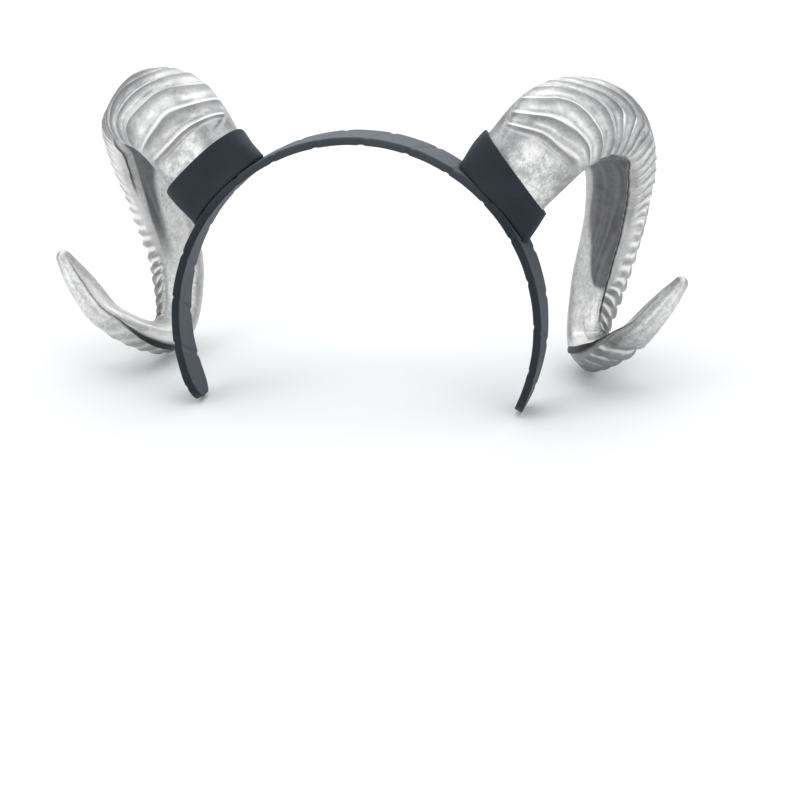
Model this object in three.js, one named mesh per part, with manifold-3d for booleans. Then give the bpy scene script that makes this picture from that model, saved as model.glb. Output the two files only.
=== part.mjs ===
// Goat horns headband: a tape-wound hoop with two ribbed, curled horns, each rooted in a cloth cuff.
// Millimetres, +Z up. +X is the wearer's left and -Y the wearer's front.
// The pieces are drawn as worn, from the middle of the hoop's circle, and then set down where they rest.
import * as THREE from "three";
import { mergeVertices } from "three/addons/utils/BufferGeometryUtils.js";
import Module from "manifold-3d";

const wasm = await Module();
wasm.setup();

const { degToRad, lerp, smoothstep } = THREE.MathUtils;
const TURN = 2 * Math.PI;

// Hoop, measured over its tape.
const HOOP_RADIUS = 77; // outer face
const HOOP_THICKNESS = 3.4;
const HOOP_WIDTH = 23; // front to back
const HOOP_EDGE = 1.1; // rounding of its long edges
const HOOP_REACH = degToRad(118); // from the crown down to each rounded end
const HOOP_FACETS = 43; // odd, so that one flat facet lies at the crown
const HOOP_EDGE_POINTS = 3; // points round each long edge
const HOOP_END_ROWS = 4; // rows that round off each end
const HOOP_END_SWEEP = degToRad(80); // part of a quarter circle that they round through, to a blunt nose

// Horn, as sections across its length from the root on the hoop to the tip.
// out, back and up place the middle of a section. wide is its size across the curl and deep along it.
const HORN_SECTIONS = [
  { out: 55, back: 2, up: 54, wide: 38, deep: 34 },
  { out: 64.5, back: 9.5, up: 64, wide: 37, deep: 35 },
  { out: 80, back: 18, up: 79, wide: 40, deep: 36.5 },
  { out: 95.5, back: 29, up: 79.5, wide: 39, deep: 32 },
  { out: 103.5, back: 48, up: 66, wide: 32, deep: 29 },
  { out: 101.5, back: 65, up: 36, wide: 26, deep: 26 },
  { out: 93.5, back: 70, up: 1.5, wide: 22.5, deep: 23 },
  { out: 90, back: 58, up: -20.5, wide: 17, deep: 15.5 },
  { out: 94.5, back: 40, up: -21.5, wide: 15, deep: 13.5 },
  { out: 111, back: 26, up: -10.5, wide: 17.5, deep: 13 },
  { out: 122.5, back: 25.5, up: 2.5, wide: 14.5, deep: 10 },
  { out: 133, back: 27, up: 16, wide: 5.5, deep: 4.2 },
];
const CURL_HEART = new THREE.Vector3(78, 42, 28); // the flat inner face looks towards an axis through it
const CURL_AXIS_TURN = degToRad(30); // that axis, turned from straight out towards the front

// The horns are set by hand: along turns one about the middle of the hoop, splay turns it about its own root,
// and slip pushes its foot along the hoop, towards the hoop's end.
const HORN_SETTINGS = {
  left: { mirror: 1, along: degToRad(-1.7), splay: degToRad(2.4), slip: 3 },
  right: { mirror: -1, along: degToRad(0.2), splay: degToRad(-2.4), slip: -3 },
};
const HORN_COLUMNS = 18; // points round a section
const HORN_LOBES = 0.09; // how far the section leans from an oval to a triangle with its keel outwards
const INNER_FACE = 0.78; // where the flat inner face cuts the section, as a part of the oval's half depth
const ROOT_SQUEEZE = 0.58; // narrows the root, front to back, to the hoop's width
const ROOT_EASE = 12.5; // length above the hoop over which that and the slip ease off
const ROOT_DEPTH = 9; // how far the root runs down past the hoop's outer face before it is cut to fit
const ROOT_ROWS = 8;
const TIP_ROWS = 9;
const TIP_ROUNDING = 2.4; // length over which the tip closes
const TIP_CLOSING = [degToRad(35), degToRad(65)]; // where the closing rows lie on its quarter circle

// Ribs across the horn's outer faces.
const RIB_COUNT = 36;
const RIB_HEIGHT = 1.1;
const RIB_FIRST = 0.14; // place of the first rib, as a part of the horn's length
const RIB_LAST = 0.8;
const RIB_CROWDING = 0.12; // ribs draw together towards the tip
const RIB_SEAM = degToRad(230); // the medial lip, from which angles are counted back below zero
const RIB_START_ANGLES = [degToRad(-30), degToRad(10)]; // ribs rise over these angles, beside the lateral lip
const RIB_END_ANGLES = [degToRad(100), degToRad(135)]; // and fall over these, past the keel
const RIB_SPREAD = degToRad(50); // further round that the last ribs reach

// Cuffs: one layer of cloth round each root, hugging the front and back edges of the hoop.
const CUFF_WALL = 1.6;
const CUFF_LAP = 2.4; // how far the cloth laps down over the hoop's edges
const CUFF_ROWS = 7;
const CUFF_RIM_STEPS = 12; // steps that find the rim's place on the horn
// A rim stands at its height above the hoop's outer face. It falls by slant along the hoop, towards the
// hoop's end, and rises by lean towards the front.
const CUFF_RIMS = {
  left: { height: 12.5, slant: 0.12, lean: 0.16 },
  right: { height: 14.5, slant: -0.02, lean: 0.16 },
};

const DRUM_WIDTH = 90; // the drum that hollows the feet of horns and cuffs to the hoop's curve
const DRUM_FACETS = 120;

const GAP = 0.35; // air between pieces
const MERGE_DISTANCE = 1e-4; // vertices closer than this are one
const MOST_TILT = degToRad(45); // the resting lean is searched for up to this, by halving
const TILT_HALVINGS = 40;

const SILVER_PAINT = { color: 0xb9bcbc, roughness: 0.42, metalness: 0.7 };
const BLACK_CLOTH = { color: 0x20262d, roughness: 0.9, metalness: 0 };

// Reshapes a capped cylinder: skin gives each point of a row, and middle the centre of an end's cap.
function loft(rowCount, columnCount, skin, middle) {
  const geometry = new THREE.CylinderGeometry(1, 1, 1, columnCount, rowCount - 1);
  const position = geometry.attributes.position;
  const vertex = new THREE.Vector3();
  for (let i = 0; i < position.count; i++) {
    vertex.fromBufferAttribute(position, i);
    const row = Math.round((0.5 - vertex.y) * (rowCount - 1));
    const angle = Math.atan2(vertex.x, vertex.z) + TURN;
    const column = Math.round((angle / TURN) * columnCount) % columnCount;
    const onSkin = Math.hypot(vertex.x, vertex.z) > 0.5;
    const place = onSkin ? skin(row, column) : middle(row);
    position.setXYZ(i, place.x, place.y, place.z);
  }
  geometry.deleteAttribute("normal");
  geometry.deleteAttribute("uv");
  return mergeVertices(geometry, MERGE_DISTANCE);
}

function toManifold(geometry) {
  const vertProperties = Float32Array.from(geometry.attributes.position.array);
  const triVerts = Uint32Array.from(geometry.index.array);
  return new wasm.Manifold(new wasm.Mesh({ numProp: 3, vertProperties, triVerts }));
}

function toGeometry(manifold) {
  const mesh = manifold.getMesh();
  const geometry = new THREE.BufferGeometry();
  geometry.setAttribute("position", new THREE.BufferAttribute(mesh.vertProperties, 3));
  geometry.setIndex(new THREE.BufferAttribute(mesh.triVerts, 1));
  return geometry;
}

// The hoop: a strip with rounded edges, bent to an arch. grow makes it larger, to cut its neighbours.
function hoopGeometry(grow) {
  const halfThickness = HOOP_THICKNESS / 2 + grow;
  const halfWidth = HOOP_WIDTH / 2 + grow;
  const edge = HOOP_EDGE + grow;
  const corners = [
    { across: 1, out: 1, start: 0 },
    { across: -1, out: 1, start: 1 },
    { across: -1, out: -1, start: 2 },
    { across: 1, out: -1, start: 3 },
  ];
  const endLength = HOOP_WIDTH / 2 / HOOP_RADIUS;
  const straightReach = HOOP_REACH - endLength;
  const rows = [];
  for (let row = 0; row <= HOOP_FACETS; row++) {
    rows.push({ angle: straightReach * (1 - (2 * row) / HOOP_FACETS), narrowing: 1 });
  }
  for (let row = 1; row <= HOOP_END_ROWS; row++) {
    const quarter = (row / HOOP_END_ROWS) * HOOP_END_SWEEP;
    const angle = straightReach + endLength * Math.sin(quarter);
    const narrowing = Math.cos(quarter);
    rows.push({ angle: -angle, narrowing });
    rows.unshift({ angle, narrowing });
  }
  const middleRadius = HOOP_RADIUS - HOOP_THICKNESS / 2;
  const place = (angle, across, out) =>
    new THREE.Vector3(
      (middleRadius + out) * Math.sin(angle),
      across,
      (middleRadius + out) * Math.cos(angle),
    );
  const skin = (row, column) => {
    const corner = corners[Math.floor(column / HOOP_EDGE_POINTS)];
    const swing = ((column % HOOP_EDGE_POINTS) / (HOOP_EDGE_POINTS - 1) + corner.start) * (TURN / 4);
    const across = corner.across * (halfWidth - edge) * rows[row].narrowing + edge * Math.cos(swing);
    const out = corner.out * (halfThickness - edge) + edge * Math.sin(swing);
    return place(rows[row].angle, across, out);
  };
  const middle = (row) => place(rows[row].angle, 0, 0);
  return loft(rows.length, corners.length * HOOP_EDGE_POINTS, skin, middle);
}

// The horn's line and sizes share one parameter, so that each section keeps its own size.
const hornLine = new THREE.CatmullRomCurve3(
  HORN_SECTIONS.map((section) => new THREE.Vector3(section.out, section.back, section.up)),
);
const hornSizes = new THREE.CatmullRomCurve3(
  HORN_SECTIONS.map((section) => new THREE.Vector3(section.wide, section.deep, 0)),
);
const hornLength = hornLine.getLength();
const curlAxis = new THREE.Vector3(Math.cos(CURL_AXIS_TURN), -Math.sin(CURL_AXIS_TURN), 0);

// Directions at the root: square to the hoop, and along it towards its end.
const hornRoot = hornLine.points[0];
const upright = new THREE.Vector3(hornRoot.x, 0, hornRoot.z).normalize();
const downhill = new THREE.Vector3(upright.z, 0, -upright.x);

// The part of the root's shaping that is left at a distance along the horn.
function rootShare(distance) {
  return 1 - smoothstep(distance, -ROOT_DEPTH, ROOT_EASE);
}

// The frame of the section at a distance along the horn; below zero it runs straight on into the hoop.
function hornFrame(distance, slip) {
  const t = hornLine.getUtoTmapping(Math.max(distance, 0) / hornLength);
  const tangent = hornLine.getTangent(t);
  const middle = hornLine.getPoint(t).addScaledVector(tangent, Math.min(distance, 0));
  const size = hornSizes.getPoint(t);
  const keel = middle.clone().sub(CURL_HEART).projectOnPlane(curlAxis).projectOnPlane(tangent).normalize();
  const lateral = tangent.clone().cross(keel);
  middle.addScaledVector(downhill, slip * rootShare(distance));
  return { middle, keel, lateral, wide: size.x, deep: size.y };
}

// A point on the horn's skin: angle 0 is the lateral side, a quarter turn is the keel.
function hornPoint(distance, angle, slip, grow, shrink = 1) {
  const frame = hornFrame(distance, slip);
  const reach = 1 + HORN_LOBES * Math.cos(3 * (angle - TURN / 4));
  const side = reach * Math.cos(angle);
  const keelReach = 1 + HORN_LOBES;
  const cut = Math.max(reach * Math.sin(angle), -INNER_FACE);
  const out = (2 * cut - keelReach + INNER_FACE) / (keelReach + INNER_FACE);
  const offset = new THREE.Vector3()
    .addScaledVector(frame.lateral, (side * frame.wide) / 2)
    .addScaledVector(frame.keel, (out * frame.deep) / 2);
  offset.setLength(offset.length() * shrink + grow);
  offset.y *= lerp(1, ROOT_SQUEEZE, rootShare(distance));
  return offset.add(frame.middle);
}

// Ribs stand full on the lateral face and the keel, and die away before the flat inner face.
function ribStrength(angle, distance) {
  const fromLip = angle > RIB_SEAM ? angle - TURN : angle;
  const spread = (RIB_SPREAD * distance) / hornLength;
  const rise = smoothstep(fromLip, ...RIB_START_ANGLES);
  const fall = smoothstep(fromLip - spread, ...RIB_END_ANGLES);
  return rise * (1 - fall);
}

function ribPlace(rib) {
  const share = rib / (RIB_COUNT - 1);
  return lerp(RIB_FIRST, RIB_LAST, share * (1 + RIB_CROWDING * (1 - share))) * hornLength;
}

function rootRows() {
  const rows = [];
  for (let row = 0; row < ROOT_ROWS; row++) {
    const distance = lerp(-ROOT_DEPTH, ribPlace(-1), row / (ROOT_ROWS - 1));
    rows.push({ distance, rib: 0, shrink: 1 });
  }
  return rows;
}

// Rows along the horn: the plain root, a groove and a crest for each rib, and the plain tip.
function hornRows() {
  const rows = rootRows();
  for (let rib = 0; rib < RIB_COUNT; rib++) {
    rows.push({ distance: ribPlace(rib - 0.5), rib: 0, shrink: 1 });
    rows.push({ distance: ribPlace(rib), rib: RIB_HEIGHT, shrink: 1 });
  }
  const plainStart = ribPlace(RIB_COUNT - 0.5);
  for (let row = 0; row < TIP_ROWS; row++) {
    const distance = lerp(plainStart, hornLength - TIP_ROUNDING, row / (TIP_ROWS - 1));
    rows.push({ distance, rib: 0, shrink: 1 });
  }
  for (const quarter of TIP_CLOSING) {
    const distance = hornLength - TIP_ROUNDING * (1 - Math.sin(quarter));
    rows.push({ distance, rib: 0, shrink: Math.cos(quarter) });
  }
  return rows;
}

// A round drum about the hoop's axis, which hollows the feet of the pieces that sit on the hoop.
function drum(radius) {
  const geometry = new THREE.CylinderGeometry(radius, radius, DRUM_WIDTH, DRUM_FACETS);
  geometry.deleteAttribute("normal");
  geometry.deleteAttribute("uv");
  return toManifold(mergeVertices(geometry, MERGE_DISTANCE));
}

function hornSolid(rows, grow, horn) {
  const skin = (row, column) => {
    const angle = (column / HORN_COLUMNS) * TURN;
    const { distance, rib, shrink } = rows[row];
    return hornPoint(distance, angle, horn.slip, grow + rib * ribStrength(angle, distance), shrink);
  };
  const middle = (row) => hornFrame(rows[row].distance, horn.slip).middle;
  return toManifold(loft(rows.length, HORN_COLUMNS, skin, middle).applyMatrix4(settingMatrix(horn)));
}

function hornGeometry(horn) {
  return toGeometry(hornSolid(hornRows(), 0, horn).subtract(drum(HOOP_RADIUS + GAP)));
}

// How far along the horn the cuff's rim lies at an angle. The rim is square to the hoop apart from its slant.
function rimDistance(angle, slip, { height, slant, lean }) {
  let distance = height;
  for (let step = 0; step < CUFF_RIM_STEPS; step++) {
    const place = hornPoint(distance, angle, slip, GAP + CUFF_WALL);
    const rim = height - slant * place.dot(downhill) - lean * place.y;
    distance += rim - (place.dot(upright) - HOOP_RADIUS);
  }
  return distance;
}

// Cloth from the root's lower end up to the rim, hollowed to clear the horn and the hoop.
function cuffGeometry(hoopCutter, rim, horn) {
  const columns = Array.from({ length: HORN_COLUMNS }, (_, column) => {
    const angle = (column / HORN_COLUMNS) * TURN;
    return { angle, top: rimDistance(angle, horn.slip, rim) };
  });
  const span = (row, top) => lerp(-ROOT_DEPTH, top, row / (CUFF_ROWS - 1));
  const skin = (row, column) => {
    const { angle, top } = columns[column];
    return hornPoint(span(row, top), angle, horn.slip, GAP + CUFF_WALL);
  };
  const middle = (row) => hornFrame(span(row, rim.height), horn.slip).middle;
  const setting = settingMatrix(horn);
  const cloth = toManifold(loft(CUFF_ROWS, HORN_COLUMNS, skin, middle).applyMatrix4(setting));
  const bore = hornSolid(rootRows(), GAP, horn);
  return toGeometry(cloth.subtract(bore).subtract(hoopCutter).subtract(drum(HOOP_RADIUS - CUFF_LAP)));
}

// Turns a horn and its cuff to the way they were set on the hoop.
function settingMatrix({ along, splay }) {
  return new THREE.Matrix4()
    .makeRotationY(along)
    .multiply(new THREE.Matrix4().makeTranslation(hornRoot))
    .multiply(new THREE.Matrix4().makeRotationY(splay))
    .multiply(new THREE.Matrix4().makeTranslation(hornRoot.clone().negate()));
}

function piece(name, geometry, finish) {
  const mesh = new THREE.Mesh(geometry, new THREE.MeshStandardMaterial(finish));
  mesh.name = name;
  return mesh;
}

function buildWorn() {
  const worn = new THREE.Group();
  worn.name = "worn";
  const hoopCutter = toManifold(hoopGeometry(GAP));
  worn.add(piece("headband", hoopGeometry(0), BLACK_CLOTH));
  for (const [side, horn] of Object.entries(HORN_SETTINGS)) {
    const half = new THREE.Group();
    half.name = `${side}_half`;
    half.scale.x = horn.mirror;
    half.add(piece(`horn_${side}`, hornGeometry(horn), SILVER_PAINT));
    half.add(piece(`cuff_${side}`, cuffGeometry(hoopCutter, CUFF_RIMS[side], horn), BLACK_CLOTH));
    worn.add(half);
  }
  return worn;
}

function lowestPoint(mesh, tilt) {
  const position = mesh.geometry.attributes.position;
  let lowest = Infinity;
  for (let i = 0; i < position.count; i++) {
    const height = position.getZ(i) * Math.cos(tilt) - position.getY(i) * Math.sin(tilt);
    lowest = Math.min(lowest, height);
  }
  return lowest;
}

// The hoop leans back until the lower horn's underside stands on the same level as the hoop's two ends.
function restTilt(worn) {
  const hoop = worn.getObjectByName("headband");
  const horns = ["horn_left", "horn_right"].map((name) => worn.getObjectByName(name));
  let low = 0;
  let high = MOST_TILT;
  for (let step = 0; step < TILT_HALVINGS; step++) {
    const tilt = (low + high) / 2;
    const hornLevel = Math.min(...horns.map((horn) => lowestPoint(horn, tilt)));
    if (hornLevel > lowestPoint(hoop, tilt)) low = tilt;
    else high = tilt;
  }
  return low;
}

function setDown(worn) {
  worn.rotation.x = -restTilt(worn);
  const box = new THREE.Box3().setFromObject(worn, true);
  const centre = box.getCenter(new THREE.Vector3());
  worn.position.set(-centre.x, -centre.y, -box.min.z);
}

const headpiece = new THREE.Group();
headpiece.name = "goat_horns_headband";
const worn = buildWorn();
setDown(worn);
headpiece.add(worn);

export default headpiece;
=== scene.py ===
# Goat horns headband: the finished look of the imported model. Metres, +Z up, and -Y is the wearer's front.
import math

import bpy
import numpy as np
from mathutils import Matrix, Vector


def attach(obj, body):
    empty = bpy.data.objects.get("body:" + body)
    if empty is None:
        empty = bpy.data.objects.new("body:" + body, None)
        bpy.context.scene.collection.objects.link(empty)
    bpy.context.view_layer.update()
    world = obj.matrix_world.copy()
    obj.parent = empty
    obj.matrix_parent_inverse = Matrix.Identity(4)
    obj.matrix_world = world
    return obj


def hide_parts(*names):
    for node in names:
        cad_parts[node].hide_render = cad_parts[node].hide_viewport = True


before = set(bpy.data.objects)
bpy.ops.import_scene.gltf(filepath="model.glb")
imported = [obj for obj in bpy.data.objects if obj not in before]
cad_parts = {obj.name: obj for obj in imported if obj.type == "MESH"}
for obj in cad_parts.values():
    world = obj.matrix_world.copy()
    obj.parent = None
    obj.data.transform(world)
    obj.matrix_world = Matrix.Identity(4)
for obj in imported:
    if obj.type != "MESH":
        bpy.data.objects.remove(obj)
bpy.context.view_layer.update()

# Sizes in millimetres, as worn, from the middle of the hoop's circle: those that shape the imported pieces.
MM = 0.001
REST_LEAN = math.radians(7.12)  # the hoop leans back by this where it stands
REST_PLACE = np.array((1.894, -34.594, 35.941))  # and its middle is then here
GAP = 0.35  # air between pieces

HOOP_RADIUS = 77.0  # outer face
HOOP_THICKNESS = 3.4
HOOP_WIDTH = 23.0
HOOP_EDGE = 1.1  # rounding of the long edges
HOOP_REACH = math.radians(118)  # from the crown down to each rounded end
HOOP_STRAIGHT = HOOP_REACH - HOOP_WIDTH / 2 / HOOP_RADIUS  # and to where the rounding starts

# Horn, as sections across its length from the root to the tip: where the middle lies, and its two sizes.
HORN_SECTIONS = [
    dict(out=55, back=2, up=54, wide=38, deep=34),
    dict(out=64.5, back=9.5, up=64, wide=37, deep=35),
    dict(out=80, back=18, up=79, wide=40, deep=36.5),
    dict(out=95.5, back=29, up=79.5, wide=39, deep=32),
    dict(out=103.5, back=48, up=66, wide=32, deep=29),
    dict(out=101.5, back=65, up=36, wide=26, deep=26),
    dict(out=93.5, back=70, up=1.5, wide=22.5, deep=23),
    dict(out=90, back=58, up=-20.5, wide=17, deep=15.5),
    dict(out=94.5, back=40, up=-21.5, wide=15, deep=13.5),
    dict(out=111, back=26, up=-10.5, wide=17.5, deep=13),
    dict(out=122.5, back=25.5, up=2.5, wide=14.5, deep=10),
    dict(out=133, back=27, up=16, wide=5.5, deep=4.2),
]
CURL_HEART = np.array((78.0, 42.0, 28.0))  # the flat inner face looks towards an axis through this point
CURL_AXIS_TURN = math.radians(30)
HORN_LOBES = 0.09  # how far the section leans from an oval to a triangle with its keel outwards
INNER_FACE = 0.78  # where the flat inner face cuts the section
LIP_SOFTNESS = 0.16  # rounding of the lips beside that face
TIP_OVAL = (205, 232)  # over which the section turns into an oval
ROOT_SQUEEZE = 0.58  # how thin the root is from front to back, as a part of its section
ROOT_DEPTH = 9.0  # the squeeze is full this far before the first section
ROOT_EASE = 12.5  # and gone this far past it
TIP_ROUNDING = 2.4  # length of the rounded end

# How each horn is set on the hoop: turned along it and splayed, in degrees, with its foot slipped towards the
# hoop's end.
SIDES = {
    "left": dict(mirror=1, along=-1.7, splay=2.4, slip=3.0),
    "right": dict(mirror=-1, along=0.2, splay=-2.4, slip=-3.0),
}
# How high each cuff's rim stands above the hoop. It falls by slant towards the hoop's end, and rises by lean
# towards the front.
CUFF_RIMS = {
    "left": dict(height=12.5, slant=0.12, lean=0.16),
    "right": dict(height=14.5, slant=-0.02, lean=0.16),
}
CUFF_FLAT = {"left": (0.12, 0.017), "right": (0.12, 0.019)}  # each band laid flat, in metres
CUFF_WALL = 1.6  # thickness of the cloth
CUFF_LAP = 2.4  # how far the hem reaches down beside the hoop

# Fineness of the meshes.
HORN_COLUMNS = 154
HORN_ROOT_ROWS = 10
HORN_TIP_ROWS = 10
# Rows of points across a rib, and where a rib would be, as parts of its width.
RIB_ROWS = [0, 0.03, 0.07, 0.12, 0.17, 0.23, 0.3, 0.38, 0.47, 0.56, 0.65, 0.74, 0.81, 0.87, 0.92, 0.96]
PLAIN_ROWS = [0, 0.125, 0.25, 0.375, 0.5, 0.625, 0.75, 0.875]
CUFF_COLUMNS = 200
CUFF_ROWS = 26
HOOP_ROW_STEP = 0.55
HOOP_COLUMN_STEP = 0.6


# Plain geometry.


def smoothstep(low, high, value):
    share = np.clip((value - low) / (high - low), 0, 1)
    return share * share * (3 - 2 * share)


def unit(vectors):
    return vectors / np.linalg.norm(vectors, axis=-1, keepdims=True)


def turn_about_y(points, angle):
    x, y, z = np.moveaxis(points, -1, 0)
    cosine, sine = math.cos(angle), math.sin(angle)
    return np.stack((x * cosine + z * sine, y, z * cosine - x * sine), -1)


def lean_back(points):
    x, y, z = np.moveaxis(points, -1, 0)
    cosine, sine = math.cos(REST_LEAN), math.sin(REST_LEAN)
    return np.stack((x, y * cosine + z * sine, z * cosine - y * sine), -1)


def set_down(points):
    """Millimetres as worn, to metres where the headband stands."""
    return (lean_back(points) + REST_PLACE) * MM


def smooth_curve(points, t):
    """A centripetal curve through the points; t counts them from zero."""
    ends = 2 * points[0] - points[1], 2 * points[-1] - points[-2]
    row = np.vstack((ends[0], points, ends[1]))
    span = np.clip(np.floor(t).astype(int), 0, len(points) - 2)
    share = (t - span)[:, None]
    before, start, stop, after = (row[span + k] for k in range(4))

    def stride(a, b):
        return np.sqrt(np.linalg.norm(b - a, axis=1, keepdims=True))

    past, here, next_on = stride(before, start), stride(start, stop), stride(stop, after)
    leave = ((start - before) / past - (stop - before) / (past + here) + (stop - start) / here) * here
    arrive = (stop - start) / here - (after - start) / (here + next_on) + (after - stop) / next_on
    arrive = arrive * here
    square, cube = share**2, share**3
    return (
        (2 * cube - 3 * square + 1) * start
        + (cube - 2 * square + share) * leave
        + (3 * square - 2 * cube) * stop
        + (cube - square) * arrive
    )


def column_of(name):
    return np.array([section[name] for section in HORN_SECTIONS], float)


# The horn's line and sizes as a close table over its length.
LINE_STEPS = 4000
line_t = np.linspace(0, len(HORN_SECTIONS) - 1, LINE_STEPS)
line_points = smooth_curve(np.stack([column_of(c) for c in ("out", "back", "up")], -1), line_t)
line_sizes = smooth_curve(np.stack([column_of(c) for c in ("wide", "deep")], -1), line_t)
line_tangents = unit(np.gradient(line_points, axis=0))
line_length = np.concatenate(([0], np.cumsum(np.linalg.norm(np.diff(line_points, axis=0), axis=1))))
HORN_LENGTH = line_length[-1]
HORN_ROOT = line_points[0]
UPRIGHT = unit(HORN_ROOT * (1, 0, 1))  # square to the hoop at the root
DOWNHILL = np.array((UPRIGHT[2], 0, -UPRIGHT[0]))  # and along it, towards its end


def along_line(table, distance):
    return np.stack([np.interp(distance, line_length, table[:, k]) for k in range(table.shape[1])], -1)


def horn_points(distance, angle, side_name, grow=0.0, shrink=1.0):
    """Points of a horn's skin. Angle 0 is the lateral side and a quarter turn is the keel."""
    root_share = 1 - smoothstep(-ROOT_DEPTH, ROOT_EASE, distance)
    slip = SIDES[side_name]["slip"] * root_share
    tangent = unit(along_line(line_tangents, np.maximum(distance, 0)))
    middle = along_line(line_points, np.maximum(distance, 0)) + tangent * np.minimum(distance, 0)[..., None]
    wide, deep = np.moveaxis(along_line(line_sizes, np.maximum(distance, 0)), -1, 0)
    axis = np.array((math.cos(CURL_AXIS_TURN), -math.sin(CURL_AXIS_TURN), 0))
    keel = middle - CURL_HEART
    for direction in (axis, tangent):
        keel = keel - direction * (keel * direction).sum(-1, keepdims=True)
    keel = unit(keel)
    lateral = np.cross(tangent, keel)
    oval = smoothstep(*TIP_OVAL, distance)
    lobes = HORN_LOBES * (1 - oval)
    face = INNER_FACE + (1 - INNER_FACE) * oval
    reach = 1 + lobes * np.cos(3 * (angle - math.pi / 2))
    side = reach * np.cos(angle)
    rise = reach * np.sin(angle)
    cut = (rise - face + np.sqrt((rise + face) ** 2 + LIP_SOFTNESS**2)) / 2
    out = (2 * cut - 1 - lobes + face) / (1 + lobes + face)
    offset = lateral * (side * wide / 2)[..., None] + keel * (out * deep / 2)[..., None]
    size = np.linalg.norm(offset, axis=-1, keepdims=True)
    offset = offset * (shrink + grow / size)
    offset[..., 1] *= 1 - (1 - ROOT_SQUEEZE) * root_share
    return middle + DOWNHILL * slip[..., None] + offset


def set_horn(points, side):
    """Turns a horn's points to the way that horn was set on the hoop."""
    set_as = SIDES[side]
    points = turn_about_y(points - HORN_ROOT, math.radians(set_as["splay"])) + HORN_ROOT
    points = turn_about_y(points, math.radians(set_as["along"]))
    return points * (set_as["mirror"], 1, 1)


def hoop_distance(points):
    """How far points lie from the hoop's axis."""
    return np.hypot(points[..., 0], points[..., 2])


# Meshes.


def grid_faces(rows, columns, flip):
    """Quads of a tube of rows that close on themselves."""
    row, column = np.meshgrid(np.arange(rows - 1), np.arange(columns), indexing="ij")
    across = (column + 1) % columns
    quads = np.stack((row * columns + column, row * columns + across, (row + 1) * columns + across), -1)
    quads = np.concatenate((quads, ((row + 1) * columns + column)[..., None]), -1).reshape(-1, 4)
    return quads[:, ::-1] if flip else quads


def cap_faces(first, columns, pole, flip):
    """Triangles from a ring of points to a pole."""
    column = np.arange(columns)
    fan = np.stack((first + column, first + (column + 1) % columns, np.full(columns, pole)), -1)
    return fan[:, ::-1] if flip else fan


def new_piece(name, points, faces, attributes=()):
    """A smooth-shaded mesh object at the origin, with named values on its points."""
    mesh = bpy.data.meshes.new(name)
    mesh.from_pydata(points.tolist(), [], [face for group in faces for face in group.tolist()])
    for label, values in dict(attributes).items():
        attribute = mesh.attributes.new(label, "FLOAT", "POINT")
        attribute.data.foreach_set("value", values.astype(np.float32).ravel())
    mesh.polygons.foreach_set("use_smooth", np.ones(len(mesh.polygons), bool))
    mesh.update()
    piece = bpy.data.objects.new(name, mesh)
    bpy.context.scene.collection.objects.link(piece)
    return piece


# Node trees.


class Field:
    """A value that runs through a node tree. Arithmetic on it adds Math nodes."""

    def __init__(self, tree, socket):
        self.tree = tree
        self.socket = socket

    def math(self, operation, *others):
        node = self.tree.nodes.new("ShaderNodeMath")
        node.operation = operation
        for slot, value in zip(node.inputs, (self, *others)):
            plug(self.tree, slot, value)
        return Field(self.tree, node.outputs[0])

    def __add__(self, other):
        return self.math("ADD", other)

    def __sub__(self, other):
        return self.math("SUBTRACT", other)

    def __mul__(self, other):
        return self.math("MULTIPLY", other)

    def __truediv__(self, other):
        return self.math("DIVIDE", other)

    def less_from(self, whole):
        """whole minus this value."""
        return (self * -1.0) + whole

    def ramp(self, low, high):
        """0 at low and 1 at high, eased at both ends."""
        node = self.tree.nodes.new("ShaderNodeMapRange")
        node.interpolation_type = "SMOOTHSTEP"
        for name, value in (("Value", self), ("From Min", low), ("From Max", high)):
            plug(self.tree, node.inputs[name], value)
        return Field(self.tree, node.outputs["Result"])

    def bell(self, middle, width):
        """1 at the middle, falling away over the width."""
        return ((self - middle) / width).math("ABSOLUTE").ramp(1.0, 0.0)

    def between(self, rise, fall):
        """1 between two spans, over which it rises and falls."""
        return self.ramp(*rise) * self.ramp(*fall)


def plug(tree, slot, value):
    if isinstance(value, Field):
        tree.links.new(value.socket, slot)
    else:
        slot.default_value = value


def add_node(tree, kind, settings=(), **inputs):
    """A node with its settings, and its inputs by name with _ for a space."""
    node = tree.nodes.new(kind)
    for name, value in dict(settings).items():
        setattr(node, name, value)
    for name, value in inputs.items():
        plug(tree, node.inputs[name.replace("_", " ")], value)
    return node


def field(tree, kind, output=0, settings=(), **inputs):
    return Field(tree, add_node(tree, kind, settings, **inputs).outputs[output])


def shaped(value, points):
    """A value put through a drawn curve."""
    node = value.tree.nodes.new("ShaderNodeFloatCurve")
    curve = node.mapping.curves[0].points
    curve[0].location, curve[1].location = points[0], points[-1]
    for place in points[1:-1]:
        curve.new(*place)
    node.mapping.update()
    value.tree.links.new(value.socket, node.inputs["Value"])
    return Field(value.tree, node.outputs["Value"])


def geometry_tree(name, sizes):
    """A tree with a geometry input and named sizes. Returns it, its geometry and a field for each size."""
    tree = bpy.data.node_groups.new(name, "GeometryNodeTree")
    tree.interface.new_socket("Geometry", in_out="INPUT", socket_type="NodeSocketGeometry")
    for label, value in sizes.items():
        socket = tree.interface.new_socket(label, in_out="INPUT", socket_type="NodeSocketFloat")
        socket.default_value = value
    tree.interface.new_socket("Geometry", in_out="OUTPUT", socket_type="NodeSocketGeometry")
    start = tree.nodes.new("NodeGroupInput")
    fields = {label: Field(tree, start.outputs[label]) for label in sizes}
    return tree, Field(tree, start.outputs["Geometry"]), fields


def point_value(tree, label):
    return field(tree, "GeometryNodeInputNamedAttribute", settings={"data_type": "FLOAT"}, Name=label)


def keep_value(geometry, label, value):
    return field(geometry.tree, "GeometryNodeStoreNamedAttribute", Geometry=geometry, Name=label, Value=value)


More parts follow.
